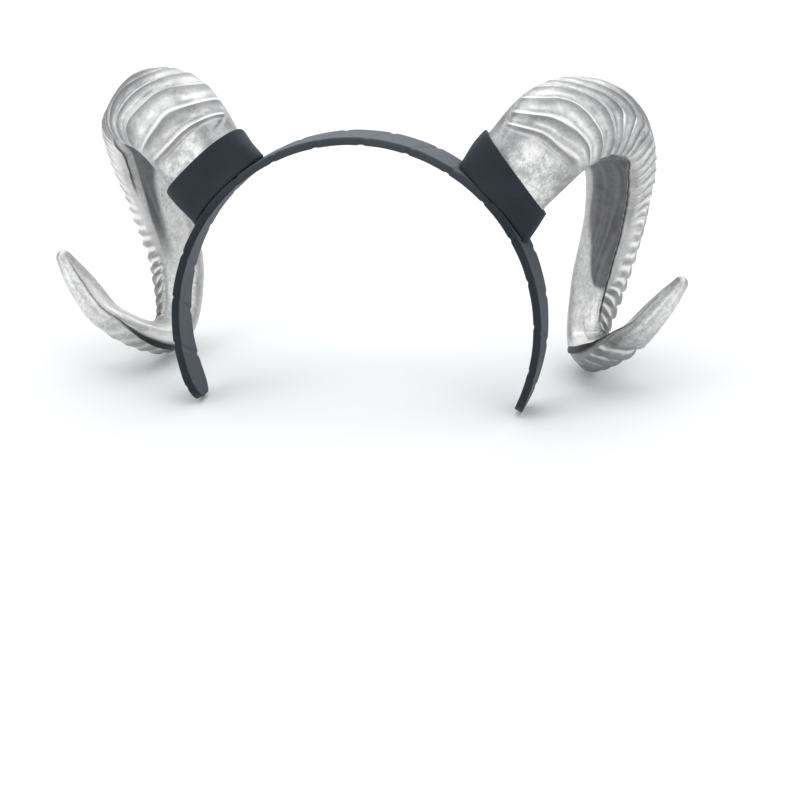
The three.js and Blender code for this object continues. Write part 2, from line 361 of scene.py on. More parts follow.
def raise_skin(geometry, height):
    """Moves the skin outwards by a height in millimetres."""
    tree = geometry.tree
    normal = field(tree, "GeometryNodeInputNormal")
    offset = add_node(tree, "ShaderNodeVectorMath", {"operation": "SCALE"}, Scale=height * MM)
    tree.links.new(normal.socket, offset.inputs[0])
    return field(tree, "GeometryNodeSetPosition", Geometry=geometry, Offset=Field(tree, offset.outputs[0]))


def close_tree(geometry, material):
    """Ends a tree: instances made real, and the material set."""
    tree = geometry.tree
    real = field(tree, "GeometryNodeRealizeInstances", Geometry=geometry)
    painted = field(tree, "GeometryNodeSetMaterial", Geometry=real, Material=material)
    end = tree.nodes.new("NodeGroupOutput")
    tree.links.new(painted.socket, end.inputs["Geometry"])


def run_tree(piece, tree, sizes):
    """Runs a tree on a piece with its sizes, and leaves the piece a plain mesh."""
    modifier = piece.modifiers.new(tree.name, "NODES")
    modifier.node_group = tree
    for socket in tree.interface.items_tree:
        if socket.in_out == "INPUT" and socket.name in sizes:
            modifier[socket.identifier] = float(sizes[socket.name])
    bpy.context.view_layer.update()
    evaluated = piece.evaluated_get(bpy.context.evaluated_depsgraph_get())
    mesh = bpy.data.meshes.new_from_object(evaluated)
    piece.modifiers.remove(modifier)
    old = piece.data
    piece.data = mesh
    bpy.data.meshes.remove(old)
    mesh.name = piece.name


# Finishes. The scale of a pattern is in spots to the metre.

BLOTCH = dict(scale=85.0, detail=4.0)
SMEAR = dict(scale=260.0, detail=5.0, roughness=0.68)
FLAKE = dict(scale=650.0, detail=4.0, roughness=0.7)
GRAIN = dict(scale=1500.0, detail=3.0, roughness=0.7)
STREAK = dict(scale=1.0, detail=3.0)
STREAK_ALONG = 0.02  # streaks to the millimetre along a horn
STREAK_AROUND = 0.11  # and to the degree round it

# Pairs of colours run from dark to light.
PAINT_COLOURS = (0.258, 0.257, 0.26), (0.88, 0.865, 0.835)
DULL_COLOURS = (0.11, 0.108, 0.117), (0.27, 0.27, 0.283)
# Painted shade in the split between the tip's faces and in the crease.
SPLIT_SHADE_COLOUR = (0.03, 0.034, 0.038)
CUFF_COLOURS = (0.012, 0.015, 0.020), (0.026, 0.032, 0.041)
TAPE_COLOURS = (0.008, 0.012, 0.0165), (0.018, 0.025, 0.033)
# Painted light on the tape's top at the crown.
TAPE_CROWN_LIGHT = (0.079, 0.086, 0.096)
FLOOR_COLOURS = (0.78, 0.78, 0.78), (0.8, 0.8, 0.8)

# How far each thing takes the paint from its dark colour, at 0, to its light one, at 1.
PLAIN_TONE = 0.42
PATTERN_TONE = dict(blotch=0.4, smear=0.4, flake=0.4, grain=0.2)
SPECKLE_TONE = 0.5
PATCH_TONE = 0.3
# Painted light on the lit part of the flat face and on the tip's upper face.
PAINTED_LIGHT_TONE = 0.22
# Painted light, or painted shade where the value is below 0, on parts of each horn.
LIGHT_AND_SHADE_TONE = 0.4
# Painted highlight on the ribs' crests.
CREST_HIGHLIGHT_TONE = 0.72
GROOVE_SHADE_TONE = 0.34  # taken off: painted shade in the grooves, the valleys and the crease
PATCH_SPREAD = (0.58, 0.78)  # of the mixed patterns, over which a fresh patch shows on the collar
INNER_SPREAD = (0.1, 0.85)  # over which the dull face shows, with a smeared edge
DULL_SPREAD = (0.3, 0.85)
PAINT_METALLIC = 0.75
PAINT_ROUGHNESS = 0.38
PAINT_BUMP = dict(Strength=0.45, Distance=0.0005)

CLOTH_FADE = dict(scale=60.0, detail=3.0)
CLOTH_FUZZ = dict(scale=3000.0, detail=2.0)
CLOTH_SHEEN = dict(Weight=0.15, Roughness=0.45, Tint=(0.75, 0.85, 1.0, 1.0))
CLOTH_BUMP = dict(Strength=0.4, Distance=0.0002)
CROWN_LIGHT_SPAN = (75.0, 40.0)  # from the middle of the hoop, over which the tape's top is lightened as painted light
EDGE_UNLIT = 0.5  # part of that painted light that the hoop's edges are spared
FLOOR_DRIFT = dict(scale=2.0, detail=2.0)
FLOOR_ROUGHNESS = 0.8


def new_material(name):
    material = bpy.data.materials.new(name)
    material.use_nodes = True
    tree = material.node_tree
    shader = next(node for node in tree.nodes if node.type == "BSDF_PRINCIPLED")
    return material, tree, shader


def noise(tree, place, scale, detail, roughness=0.5):
    """A random pattern between 0 and 1, mostly about a half."""
    settings = dict(Vector=place, Scale=scale, Detail=detail, Roughness=roughness)
    return field(tree, "ShaderNodeTexNoise", "Fac", **settings)


def blend_colours(tree, share, low, high):
    node = add_node(tree, "ShaderNodeMix", {"data_type": "RGBA"})
    plug(tree, node.inputs["Factor"], share)
    for slot, colour in ((node.inputs[6], low), (node.inputs[7], high)):
        plug(tree, slot, colour if isinstance(colour, Field) else (*colour, 1.0))
    return Field(tree, node.outputs[2])


def surface_value(tree, label):
    return field(tree, "ShaderNodeAttribute", "Fac", settings={"attribute_name": label})


def roughen(tree, shader, height, settings):
    """Bumps on a surface."""
    bump = add_node(tree, "ShaderNodeBump", **settings)
    plug(tree, bump.inputs["Height"], height)
    tree.links.new(bump.outputs["Normal"], shader.inputs["Normal"])


def paint_tone(tree, blotch, smear, flake, grain):
    """How light the silver is: mottled at random, with painted highlights on the crests and lit faces, and
    painted shade in the grooves, the crease, the collar's sides and under the tip.
    """
    painted_light = surface_value(tree, "painted_light")
    tone = (blotch - 0.5) * PATTERN_TONE["blotch"] + (smear - 0.5) * PATTERN_TONE["smear"]
    tone = tone + (flake - 0.5) * PATTERN_TONE["flake"] + (grain - 0.5) * PATTERN_TONE["grain"]
    speckle = (flake - 0.5) * painted_light * SPECKLE_TONE
    patch = surface_value(tree, "collar") * (blotch * 0.5 + smear * 0.5 + flake * 0.3).ramp(*PATCH_SPREAD)
    tone = tone + speckle + patch * PATCH_TONE + painted_light * PAINTED_LIGHT_TONE
    tone = tone + surface_value(tree, "crest_highlight") * CREST_HIGHLIGHT_TONE - surface_value(tree, "groove_shade") * GROOVE_SHADE_TONE
    return tone + surface_value(tree, "light_and_shade") * LIGHT_AND_SHADE_TONE + PLAIN_TONE


def dull_face(tree, smear, grain):
    """The colour of the inner face, streaked along the horn."""
    drawn = add_node(
        tree,
        "ShaderNodeCombineXYZ",
        X=surface_value(tree, "along") * STREAK_ALONG,
        Y=surface_value(tree, "around") * STREAK_AROUND,
    )
    streak = noise(tree, Field(tree, drawn.outputs[0]), **STREAK)
    worn = (streak * 0.5 + smear * 0.35 + grain * 0.25).ramp(*DULL_SPREAD)
    return blend_colours(tree, worn, *DULL_COLOURS)


def silver_paint():
    """Brushed-on silver, dull and streaked on the inner face, with painted shade in the split and the crease.
    """
    material, tree, shader = new_material("silver_paint")
    place = field(tree, "ShaderNodeTexCoord", "Object")
    blotch = noise(tree, place, **BLOTCH)
    smear = noise(tree, place, **SMEAR)
    flake = noise(tree, place, **FLAKE)
    grain = noise(tree, place, **GRAIN)
    tone = paint_tone(tree, blotch, smear, flake, grain)
    paint = blend_colours(tree, tone.ramp(0.0, 1.0), *PAINT_COLOURS)
    inner = (surface_value(tree, "inner") + (smear - 0.5) * 0.6).ramp(*INNER_SPREAD)
    finish = blend_colours(tree, inner, paint, dull_face(tree, smear, grain))
    finish = blend_colours(tree, surface_value(tree, "split_shade"), finish, SPLIT_SHADE_COLOUR)
    plug(tree, shader.inputs["Base Color"], finish)
    roughness = (blotch - 0.5) * 0.4 + (grain - 0.5) * 0.25 + inner * 0.2 + PAINT_ROUGHNESS
    plug(tree, shader.inputs["Roughness"], roughness)
    shader.inputs["Metallic"].default_value = PAINT_METALLIC
    roughen(tree, shader, grain * 0.4 + smear * 0.9, PAINT_BUMP)
    return material


def black_cloth(name, colours, thread, roughness, gloss, crown_light=None):
    """Black cloth with a fine weave along its own map, and perhaps painted light on top of the crown."""
    material, tree, shader = new_material(name)
    place = field(tree, "ShaderNodeTexCoord", "Object")
    fade = noise(tree, place, **CLOTH_FADE)
    fuzz = noise(tree, place, **CLOTH_FUZZ)
    shade = (fade - 0.5) * 0.8 + (fuzz - 0.5) * 0.7 + 0.5
    cloth = blend_colours(tree, shade.ramp(0.0, 1.0), *colours)
    if crown_light:
        # Painted light: the top of the crown is made lighter, as if lit from above.
        crown_light_share = surface_value(tree, "lengthways").math("ABSOLUTE").ramp(*CROWN_LIGHT_SPAN)
        lit_top_share = crown_light_share * (surface_value(tree, "edge") * EDGE_UNLIT).less_from(1.0)
        cloth = blend_colours(tree, lit_top_share * (shade * 0.5 + 0.5), cloth, crown_light)
    plug(tree, shader.inputs["Base Color"], cloth)
    shader.inputs["Roughness"].default_value = roughness
    shader.inputs["Specular IOR Level"].default_value = gloss
    for setting, value in CLOTH_SHEEN.items():
        shader.inputs["Sheen " + setting].default_value = value
    warp = (surface_value(tree, "lengthways") * (2 * math.pi / thread)).math("SINE")
    weft = (surface_value(tree, "crossways") * (2 * math.pi / thread)).math("SINE")
    roughen(tree, shader, warp * weft * 0.5 + fuzz, CLOTH_BUMP)
    return material


def pale_floor():
    material, tree, shader = new_material("pale_floor")
    place = field(tree, "ShaderNodeTexCoord", "Object")
    drift = noise(tree, place, **FLOOR_DRIFT)
    plug(tree, shader.inputs["Base Color"], blend_colours(tree, drift, *FLOOR_COLOURS))
    shader.inputs["Roughness"].default_value = FLOOR_ROUGHNESS
    return material


# Horns. Places along a horn are in millimetres from its root, and angles round it in degrees.
# A span runs from where something has no effect to where it has its full effect.

KEEL = 90.0
MEDIAL_LIP = 231.0

# What differs between the horns.
HORN_LOOKS = {
    "left": dict(
        tip_ribs=0.85,  # height of the last ribs, as a part of the others'
        seam=0.0,  # angle by which the mould seam lies past the table's
        limb_strip=22.0,  # angle beside the lateral lip that stays plain on the lower limb
        crease_end=178,  # place where the crease along that lip ends
        face_strip=(0, 5),  # span of angles from that lip over which the dull inner face sets in
        medial_fade=(225, 245),  # and the same at the medial lip
        limb_face_light=0.25,  # how much painted light lies beside the lateral lip
        under_tip_shade=0.8,  # how much painted shade lies under the tip
        seed=3,  # for what is random
    ),
    "right": dict(
        tip_ribs=0.2,
        seam=30.0,
        limb_strip=0.0,
        crease_end=112,
        face_strip=(9, 17),
        medial_fade=(228, 242),
        limb_face_light=0.65,
        under_tip_shade=0.0,
        seed=11,
    ),
}

# Places of the grooves between the ribs, on the lateral side.
FIRST_RIBS = {
    "left": [30, 36.5, 45, 52, 57, 62, 68],
    "right": [26, 35, 44.5, 52, 59, 64, 69],
}
LATER_RIBS = [73, 78.5, 84, 90, 96, 102, 107.5, 112.5, 117, 122, 127, 133, 139, 146, 152, 158, 164, 170]
LAST_RIBS = [176, 182, 188, 194, 200, 206, 212, 219, 227]
UNSEEN_RIB = 6.0  # width of the ribs that are counted on before the first and after the last
UNSEEN_BEFORE = 9
UNSEEN_AFTER = 11

# A rib from groove to groove, on the upper part and on the lower limb: part of its width, part of its height.
SHINGLE_PROFILE = [
    (0, 0.2),
    (0.03, 0.5),
    (0.07, 0.9),
    (0.12, 1),
    (0.17, 0.84),
    (0.23, 0.68),
    (0.3, 0.63),
    (0.47, 0.63),
    (0.65, 0.5),
    (0.81, 0.34),
    (1, 0.2),
]
ROPE_PROFILE = [(0, 0), (0.12, 0.3), (0.32, 0.85), (0.5, 1), (0.68, 0.85), (0.88, 0.3), (1, 0)]
LOWER_LIMB = (98.0, 128.0)  # span over which the one turns into the other

# How far a rib runs back towards the root on its way to the keel: place, sweep.
RIB_SWEEP = {
    "left": np.array([(2, 0), (30, 10), (40, 16), (48, 17), (57, 13), (80, 12), (120, 8)]),
    "right": np.array([(20, 0), (30, 4), (40, 10), (50, 14), (62, 14), (120, 8)]),
}
SWEEP_ANGLES = (25, 100)
SWEEP_EASE = 1.3  # power that makes the sweep start softly
RIBS_CALM = (246, 205)  # every bend of the ribs dies away here, before the tip
MEDIAL_CALM = (285, 200)  # and here, past the medial lip

# The ribs of the lower limb climb towards the lip, by millimetres in a degree about a middle.
TRAIL_RATE = 0.08
TRAIL_MIDDLE = 20
TRAIL_REACH = (-60, 30)
TRAIL_PLACES = (112, 140)
# Those of the upper limb drop beside it.
DROP_RATE = 0.2
DROP_MIDDLE = -25
DROP_REACH = (-35, 0)
DROP_PLACES = (66, 82), (122, 104)
# The last ones run on towards the tip on the keel.
SLANT_RATE = 0.08
SLANT_MIDDLE = 160
SLANT_REACH = (-60, 60)
SLANT_PLACES = (188, 205)
SLANT_ANGLES = (40, 100), (270, 235)
# At the lateral lip the first ones draw together, from a width on the root's side of the place.
GATHER_PLACE = 57.0
GATHER_WIDTH = {"left": 30.0, "right": 20.0}
GATHER_ANGLES = (45, -15)
# The next ones lie nearer the root there.
LEAD = 8.5
LEAD_PLACES = (55, 64), (140, 88)
LEAD_ANGLES = (30, -20)
LIP_ANGLES = (-90, -60)
# All stray a little: wavelengths round and along, in degrees and millimetres over a radian.
WAVER = 0.45
WAVER_WAVES = (17, 9), (31, -13)
WAVER_PLACES = (8, 24)
WAVER_ANGLES = (-75, -45)

HORN_FIRST_ROW = 13.0  # rows follow the grooves from here
HORN_LAST_ROW = 253.0  # to here
HORN_END_ROWS = 5
COUNT_STEPS = 3000  # in which the grooves are looked for
FOOT_ROUNDS = 12  # in which the foot finds the hoop

# The ragged mould seam where the ribs stop on the medial side: place, angle.
KEEL_SEAM = np.array(
    [(10, 80), (22, 84), (30, 94), (36, 106), (60, 113), (120, 126), (180, 140)]
    + [(200, 162), (215, 200), (240, 205)]
)
SEAM_TURN = (15, 29)  # places over which the seam turns to where it lies on each horn
# The crease beside the lateral lip: place, angle.
LIP_CREASE = np.array(
    [(48, -34), (56, -30), (64, -44), (78, -58), (93, -60), (108, -54), (125, -45)]
    + [(145, -36), (160, -40), (180, -46)]
)
CREASE_WIDTH = 1.3
# The split between the tip's inner and outer faces: place, angle, width.
TIP_SPLIT = {
    "left": np.array(
        [
            (188, 198, 0.5),
            (197, 200, 3.2),
            (207, 203, 3.0),
            (213, 206, 2.0),
            (220, 220, 1.2),
            (226, 238, 0.8),
            (234, 251, 0.7),
            (243, 264, 0.6),
            (258, 290, 0.4),
        ]
    ),
    "right": np.array(
        [
            (188, 158, 0.5),
            (195, 162, 4.2),
            (204, 171, 4.0),
            (212, 179, 2.6),
            (219, 191, 1.4),
            (227, 210, 1.0),
            (234, 229, 0.8),
            (242, 239, 0.7),
            (250, 254, 0.6),
            (258, 266, 0.4),
        ]
    ),
}
FAR_FROM_LINE = 8  # stands for any larger distance from a crease or split

# Spans of the finishes, along and round a horn.
FLAT_START = (44, 54)
BARE_STRIP = (95, 105, 120, 150), (258, 270, 278, 286)  # right horn: places, and angles that it reaches
BARE_STRIP_EDGE = (-14, 12)
BARE_STRIP_END = (168, 108)
LEDGE_PLACE = 156  # left horn: where a ledge ends the dull face at the lateral lip
LEDGE_CLIMB = 22  # how much nearer the root it lies at the medial lip
LEDGE_EDGE = (2, -6)
LEDGE_BLUR = 14  # how much softer its edge is there
LEDGE_ANGLE = 300  # where it starts to climb
LIMB_FACE_PLACES = (60, 74), (148, 118)
LIMB_FACE_ANGLES = (-64, -50), (5, -20)
TIP_FACE_PLACES = (183, 196), (259, 246)
TIP_FACE_EDGE = (3, 14)
UNDER_TIP_PLACES = (178, 192), (244, 226)
UNDER_TIP_EDGE = (10, -10)
COLLAR_FRONT = (-20, 5), (75, 45)
COLLAR_END = (32, 22)
COLLAR_LIP = (-70, -50)
# Painted shade on the collar's sides.
COLLAR_SHADE = 0.45
COLLAR_PATCHES = (-45, 0), (75, 40)
COLLAR_COUNT = (-0.3, -1.2)  # of grooves, before the first of which the collar lies
# Painted light: the flat face past its dull part and the tip's upper face are made paler; the paint's speckle
# shows there too.
PAINTED_LIGHT_FACE = 0.9
PAINTED_LIGHT_FACE_END = (215, 190)
PAINTED_LIGHT_TIP_PLACES = (200, 232), (259, 244)


def between(value, rise, fall):
    """1 between two spans, over which it rises and falls."""
    return smoothstep(*rise, value) * smoothstep(*fall, value)


def on_table(table, distance, column=1):
    """A table's value at each distance."""
    return np.interp(distance, table[:, 0], table[:, column])


def keel_sweep(distance, degrees, side):
    """How far the ribs run back towards the root on their way over the keel."""
    sweep = on_table(RIB_SWEEP[side], distance) * smoothstep(*RIBS_CALM, distance)
    return sweep * smoothstep(*SWEEP_ANGLES, degrees) ** SWEEP_EASE * smoothstep(*MEDIAL_CALM, degrees)


def limb_trail(distance, degrees):
    """How far the ribs climb round the lower limb."""
    turn = np.clip(degrees - TRAIL_MIDDLE, *TRAIL_REACH)
    return TRAIL_RATE * turn * smoothstep(*TRAIL_PLACES, distance) * smoothstep(*RIBS_CALM, distance)


def tip_slant(distance, degrees):
    """How far the last ribs run on towards the tip."""
    turn = np.clip(degrees - SLANT_MIDDLE, *SLANT_REACH)
    slant = SLANT_RATE * turn * smoothstep(*SLANT_PLACES, distance) * smoothstep(*RIBS_CALM, distance)
    return slant * between(degrees, *SLANT_ANGLES)


def lip_shift(distance, degrees, side):
    """How the ribs bend at the lateral lip."""
    drop = DROP_RATE * np.clip(degrees - DROP_MIDDLE, *DROP_REACH) * between(distance, *DROP_PLACES)
    before = np.minimum(distance - GATHER_PLACE, 0)
    gather = before * smoothstep(-GATHER_WIDTH[side], 0, before) * smoothstep(*GATHER_ANGLES, degrees)
    lead = LEAD * between(distance, *LEAD_PLACES) * smoothstep(*LEAD_ANGLES, degrees)
    return (drop + gather + lead) * smoothstep(*LIP_ANGLES, degrees)


def rib_waver(distance, degrees, side):
    """How far the ribs stray from an even run."""
    seed = HORN_LOOKS[side]["seed"]
    stray = 0
    for turn, (round_wave, along_wave) in enumerate(WAVER_WAVES, 1):
        stray = stray + np.sin(degrees / round_wave + distance / along_wave + turn * seed)
    stray = WAVER * stray * smoothstep(*WAVER_PLACES, distance) * smoothstep(*RIBS_CALM, distance)
    return stray * smoothstep(*WAVER_ANGLES, degrees) * smoothstep(*MEDIAL_CALM, degrees)


def rib_places(side):
    return FIRST_RIBS[side] + LATER_RIBS + LAST_RIBS


def rib_count(distance, degrees, side):
    """How many grooves lie between the root and a point of the skin."""
    places = rib_places(side)
    before = [places[0] - UNSEEN_RIB * k for k in range(UNSEEN_BEFORE, 0, -1)]
    after = [places[-1] + UNSEEN_RIB * k for k in range(1, UNSEEN_AFTER + 1)]
    whole = before + places + after
    shifted = distance + keel_sweep(distance, degrees, side) - limb_trail(distance, degrees)
    shifted = shifted + tip_slant(distance, degrees) + lip_shift(distance, degrees, side)
    shifted = shifted + rib_waver(distance, degrees, side)
    return np.interp(shifted, whole, np.arange(len(whole)) - float(UNSEEN_BEFORE))


def horn_foot(angle, side):
    """Where each column of a horn starts, so that its foot lies on the hoop's curve."""
    distance = np.zeros_like(angle)
    for _ in range(FOOT_ROUNDS):
        points = set_horn(horn_points(distance, angle, side), side)
        distance = distance + (HOOP_RADIUS + GAP - hoop_distance(points))
    return distance


def horn_rows(angle, side):
    """Distances of the skin's points from the root, in rows that run along the grooves."""
    degrees = np.degrees(angle)
    fine = np.linspace(HORN_FIRST_ROW, HORN_LAST_ROW, COUNT_STEPS)
    counts = np.stack([rib_count(fine, np.full_like(fine, degree), side) for degree in degrees], -1)
    counts = np.maximum.accumulate(counts, 0)
    wanted = []
    for whole in range(math.floor(counts[0].min()), math.ceil(counts[-1].max()) + 1):
        steps = RIB_ROWS if -1 <= whole < len(rib_places(side)) else PLAIN_ROWS
        wanted += [whole + step for step in steps]
    wanted = np.array([count for count in wanted if counts[0].max() < count < counts[-1].min()])
    ribbed = np.stack([np.interp(wanted, counts[:, k], fine) for k in range(len(angle))], -1)
    share = np.linspace(0, 1, HORN_ROOT_ROWS, endpoint=False)[:, None]
    root = horn_foot(angle, side) * (1 - share) + ribbed[0] * share
    share = np.linspace(0, 1, HORN_END_ROWS + 1)[1:, None]
    end = ribbed[-1] * (1 - share) + (HORN_LENGTH - TIP_ROUNDING) * share
    return np.vstack((root, ribbed, end))


def girth_at(distance):
    """Roughly how far it is round the horn."""
    wide, deep = np.moveaxis(along_line(line_sizes, np.maximum(distance, 0)), -1, 0)
    return math.pi * (wide + deep) / 2


def reach_from(line, distance, degrees, width):
    """Distance of points of the skin from a line drawn along it, as a part of the line's half width."""
    away = np.abs(degrees - on_table(line, distance)) * girth_at(distance) / 360
    return np.clip(away / (width / 2), 0, FAR_FROM_LINE)


def flat_face(distance, degrees, side):
    """1 on the flat inner face between its lips."""
    looks = HORN_LOOKS[side]
    from_medial = smoothstep(*looks["medial_fade"], degrees)
    folded = np.where(degrees > 180, degrees - 360, degrees)
    from_lateral = smoothstep(*looks["face_strip"], on_table(LIP_CREASE, distance) - folded)
    within = np.where(degrees > 180, from_medial * from_lateral, from_lateral * (degrees < KEEL))
    return within * smoothstep(*FLAT_START, distance)


def dull_share(distance, degrees, side):
    """1 where the flat face is dull, up to a bare strip on the right horn and a ledge on the left one."""
    past_lip = np.where(degrees < KEEL, degrees + 360, degrees)
    if side == "right":
        bare = np.interp(distance, *BARE_STRIP)
        return smoothstep(*BARE_STRIP_EDGE, past_lip - bare) * smoothstep(*BARE_STRIP_END, distance)
    towards_medial = smoothstep(LEDGE_ANGLE, MEDIAL_LIP, past_lip)
    past_ledge = distance - LEDGE_PLACE + LEDGE_CLIMB * towards_medial
    return smoothstep(LEDGE_EDGE[0], LEDGE_EDGE[1] - LEDGE_BLUR * towards_medial, past_ledge)


def painted_light_and_shade(distance, degrees, side):
    """Painted light, above 0, and painted shade, below 0: lighter beside the lateral lip and on the tip's
    upper face, darker on the collar's sides and under the tip.
    """
    looks = HORN_LOOKS[side]
    limb_face_light = between(distance, *LIMB_FACE_PLACES) * between(degrees, *LIMB_FACE_ANGLES)
    past_split = degrees - on_table(TIP_SPLIT[side], distance)
    tip_face_light = between(distance, *TIP_FACE_PLACES) * smoothstep(*TIP_FACE_EDGE, past_split)
    under_tip_shade = between(distance, *UNDER_TIP_PLACES) * smoothstep(*UNDER_TIP_EDGE, past_split)
    collar_side_shade = (1 - between(degrees, *COLLAR_FRONT)) * smoothstep(*COLLAR_END, distance)
    collar_side_shade = collar_side_shade * smoothstep(*COLLAR_LIP, degrees)
    light_and_shade = looks["limb_face_light"] * limb_face_light + tip_face_light
    return light_and_shade - COLLAR_SHADE * collar_side_shade - looks["under_tip_shade"] * under_tip_shade


def skin_values(distance, degrees, side):
    """What the ribs and the paint have to know about each point of a horn's skin."""
    split = TIP_SPLIT[side]
    flat = flat_face(distance, degrees, side)
    dull = dull_share(distance, degrees, side)
    count = rib_count(distance, degrees, side)
    seam = HORN_LOOKS[side]["seam"] * smoothstep(*SEAM_TURN, distance) + on_table(KEEL_SEAM, distance)
    painted_light_face = PAINTED_LIGHT_FACE * flat * (1 - dull) * smoothstep(*PAINTED_LIGHT_FACE_END, distance)
    return {
        "along": distance,
        "around": degrees,
        "count": count,
        "crease": reach_from(LIP_CREASE, distance, degrees, CREASE_WIDTH),
        "split": reach_from(split, distance, degrees, on_table(split, distance, 2)),
        "past_seam": degrees - seam,
        "inner": flat * dull,
        "painted_light": np.maximum(painted_light_face, between(distance, *PAINTED_LIGHT_TIP_PLACES)),
        "light_and_shade": painted_light_and_shade(distance, degrees, side),
        "collar": smoothstep(*COLLAR_COUNT, count) * between(degrees, *COLLAR_PATCHES),
    }


# Ribs of the horns, raised by nodes. Spans as above.

RIB_SIZES = {
    "Rib Height": 1.9,
    "Crease Depth": 0.9,
    "Split Depth": 2.2,
    "Last Rib": 30.0,
    "Tip Ribs": 0.5,
    "Limb Strip": 10.0,
    "Crease End": 178.0,
    "Seed": 0.0,
}
NICKS = dict(scale=500.0, detail=3.0)
DENTS = dict(scale=130.0, detail=2.0)
NICK_DEPTH = 0.08
DENT_DEPTH = 0.35
GROOVE_MARGIN = 0.001  # keeps a point on a groove from counting as the rib before

STRIP_PLACES = (95.0, 130.0), (160.0, 145.0)
COLLAR_STRIP_PLACES = (52.0, 32.0)
COLLAR_STRIP = 24.0  # angle beside the lip that stays plain near the collar
LIP_EDGE = (-50.0, -26.0)
SEAM_EDGE = (5.0, -7.0)
SEAM_RAGGEDNESS = 16.0
SPLIT_EDGE = (1.0, 2.0)
FIRST_RIB_EDGE = (-0.6, -0.25)
LAST_RIB_EDGE = (0.35, -0.2)

TIP_RIB_PLACES = (178.0, 212.0)
LOW_RIB_PLACES = (66.0, 85.0), (162.0, 138.0)  # where the ribs are half as high
FULL_RIB_PLACES = (90.0, 150.0)
KEEL_RISE = (5.0, 55.0)  # angle from the seam over which the ribs gain their height
SEAM_HEIGHT = 0.25  # part of it that they have at the seam

CREASE_START = (57.0, 67.0)
CREASE_FADE = (0.0, -14.0)
CREASE_EDGE = (1.0, 0.2)
SPLIT_PLACES = (188.0, 197.0), (256.0, 247.0)
SPLIT_WALL = (1.0, 0.55)
SPLIT_DEEPENS = (232.0, 206.0)
SEAM_RIDGE = dict(middle=2.0, width=7.0)
SEAM_RIDGE_END = (70.0, 50.0)

# Lines across a rib, as parts of its width. The bright ones and the rope's crest are painted highlights; the
# valleys are painted shade.
FINE_LINE = dict(middle=0.38, width=0.08)
FINE_LINE_SPREAD = (0.45, 0.7)
BRIGHT_EDGE = dict(middle=0.11, width=0.13)
BRIGHT_BACK = dict(middle=0.45, width=0.2)
SHINGLE_VALLEY = (0.55, 0.98)
ROPE_CREST = dict(middle=0.5, width=0.35)
ROPE_HIGHLIGHT_TONE = 0.6
ROPE_VALLEY = dict(middle=0.5, width=0.45)
ROPE_TROUGH_SHADE = 0.65


def horn_wear(tree, seed):
    """Small nicks and wider dents all over a horn, about 0."""
    place = field(tree, "GeometryNodeInputPosition")
    shift = add_node(tree, "ShaderNodeVectorMath", {"operation": "ADD"})
    tree.links.new(place.socket, shift.inputs[0])
    plug(tree, shift.inputs[1], seed)
    spot = Field(tree, shift.outputs[0])
    return noise(tree, spot, **NICKS) - 0.5, noise(tree, spot, **DENTS) - 0.5


def rib_mask(tree, size, nick):
    """1 where there are ribs: from the lip to the seam and from the first to the last, clear of the split."""
    along = point_value(tree, "along")
    count = point_value(tree, "count")
    from_lip = point_value(tree, "around") - along.between(*STRIP_PLACES) * size["Limb Strip"]
    from_lip = from_lip - along.ramp(*COLLAR_STRIP_PLACES) * COLLAR_STRIP
    past_seam = point_value(tree, "past_seam") + nick * SEAM_RAGGEDNESS
    mask = from_lip.ramp(*LIP_EDGE) * past_seam.ramp(*SEAM_EDGE)
    mask = mask * point_value(tree, "split").ramp(*SPLIT_EDGE)
    return mask * count.ramp(*FIRST_RIB_EDGE) * (count - size["Last Rib"]).ramp(*LAST_RIB_EDGE)


def rib_rise(tree, own):
    """How high each rib stands: unevenly, and lower on the upper limb and beside the seam."""
    along = point_value(tree, "along")
    tall = own * 0.4 + along.ramp(*FULL_RIB_PLACES) * 0.2 + 0.75
    tall = tall * (along.between(*LOW_RIB_PLACES) * -0.5 + 1.0)
    before_seam = point_value(tree, "past_seam") * -1.0
    return tall * (before_seam.ramp(*KEEL_RISE) * (1.0 - SEAM_HEIGHT) + SEAM_HEIGHT)


